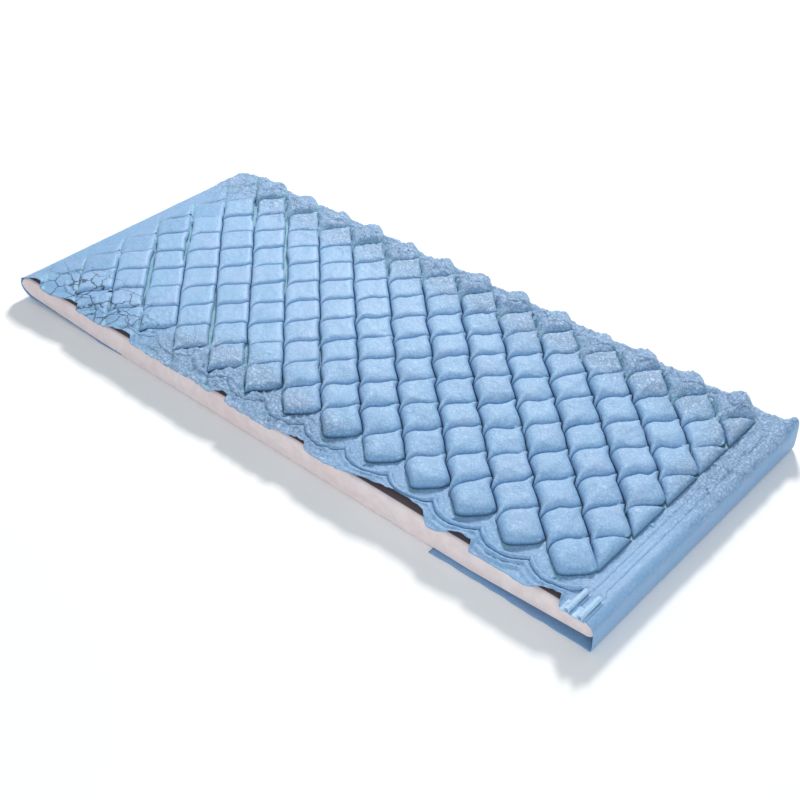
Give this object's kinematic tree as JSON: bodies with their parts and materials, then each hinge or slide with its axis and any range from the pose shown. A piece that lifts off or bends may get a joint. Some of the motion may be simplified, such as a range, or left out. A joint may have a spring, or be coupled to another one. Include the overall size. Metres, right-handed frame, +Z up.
{
  "type": "pressure relief mattress",
  "caption": "Alternating air pad of welded diamond cells on a covered foam slab, held by end flaps tucked under it, with air inlets at one corner.",
  "frame": {"origin": "on the floor, under the middle of the slab", "axes": "+X runs from the head end to the foot end, +Y from the side with the air inlets to the far side, +Z up"},
  "size_m": [2.0422, 0.9, 0.1184],
  "materials": {
    "blue_film": "satin soft film with fine wrinkles",
    "pale_tube": "satin soft film",
    "cover_fabric": "matt woven cover",
    "foam": "matt open-cell foam",
    "zip_coil": "matt coil",
    "zip_metal": "plated, slightly worn"
  },
  "bodies": {
    "covered_slab": {"foam_core": "foam", "foam_cover": "cover_fabric", "zip_chain": "zip_coil", "zip_tape_upper": "cover_fabric", "zip_tape_lower": "cover_fabric", "lower_film": "blue_film", "head_wrap": "blue_film", "foot_wrap": "blue_film", "feed_channel_a": "blue_film", "feed_channel_b": "blue_film", "inlet_patch": "pale_tube", "inlet_tube_a": "pale_tube", "inlet_tube_b": "pale_tube"},
    "circuit_a": {"cell_row_a1": "blue_film", "cell_row_a2": "blue_film", "cell_row_a3": "blue_film", "cell_row_a4": "blue_film", "cell_row_a5": "blue_film", "cell_row_a6": "blue_film", "cell_row_a7": "blue_film", "cell_row_a8": "blue_film", "cell_row_a9": "blue_film"},
    "circuit_b": {"cell_row_b1": "blue_film", "cell_row_b2": "blue_film", "cell_row_b3": "blue_film", "cell_row_b4": "blue_film", "cell_row_b5": "blue_film", "cell_row_b6": "blue_film", "cell_row_b7": "blue_film", "cell_row_b8": "blue_film", "cell_row_b9": "blue_film"},
    "head_flap": {"head_flap": "blue_film"},
    "foot_flap": {"foot_flap": "blue_film"},
    "zip_slider": {"zip_slider": "zip_metal"},
    "zip_pull": {"zip_pull": "zip_metal"}
  },
  "joints": [
    {"name": "circuit_a_deflate", "type": "slide", "parent": "covered_slab", "child": "circuit_a", "axis": [0, 0, -1], "range_m": [0, 0.028], "stiffness_N_per_m": 2000, "springref_m": -0.015, "deforming": ["cell_row_a1", "cell_row_a2", "cell_row_a3", "cell_row_a4", "cell_row_a5", "cell_row_a6", "cell_row_a7", "cell_row_a8", "cell_row_a9"]},
    {"name": "circuit_b_deflate", "type": "slide", "parent": "covered_slab", "child": "circuit_b", "axis": [0, 0, -1], "range_m": [0, 0.028], "stiffness_N_per_m": 2000, "springref_m": -0.015, "deforming": ["cell_row_b1", "cell_row_b2", "cell_row_b3", "cell_row_b4", "cell_row_b5", "cell_row_b6", "cell_row_b7", "cell_row_b8", "cell_row_b9"]},
    {"name": "head_flap_fold", "type": "hinge", "parent": "covered_slab", "child": "head_flap", "pos_m": [-0.98025, 0, 0.01335], "axis": [0, 1, 0], "range_deg": [0, 176]},
    {"name": "foot_flap_fold", "type": "hinge", "parent": "covered_slab", "child": "foot_flap", "pos_m": [1.0207, 0, 0.0004], "axis": [0, -1, 0], "range_deg": [0, 180]},
    {"name": "zip_slide", "type": "slide", "parent": "covered_slab", "child": "zip_slider", "axis": [1, 0, 0], "range_m": [0, 1.17]},
    {"name": "zip_pull_swing", "type": "hinge", "parent": "zip_slider", "child": "zip_pull", "pos_m": [-0.587, 0.4425, 0.034], "axis": [1, 0, 0], "range_deg": [-8, 165]}
  ]
}
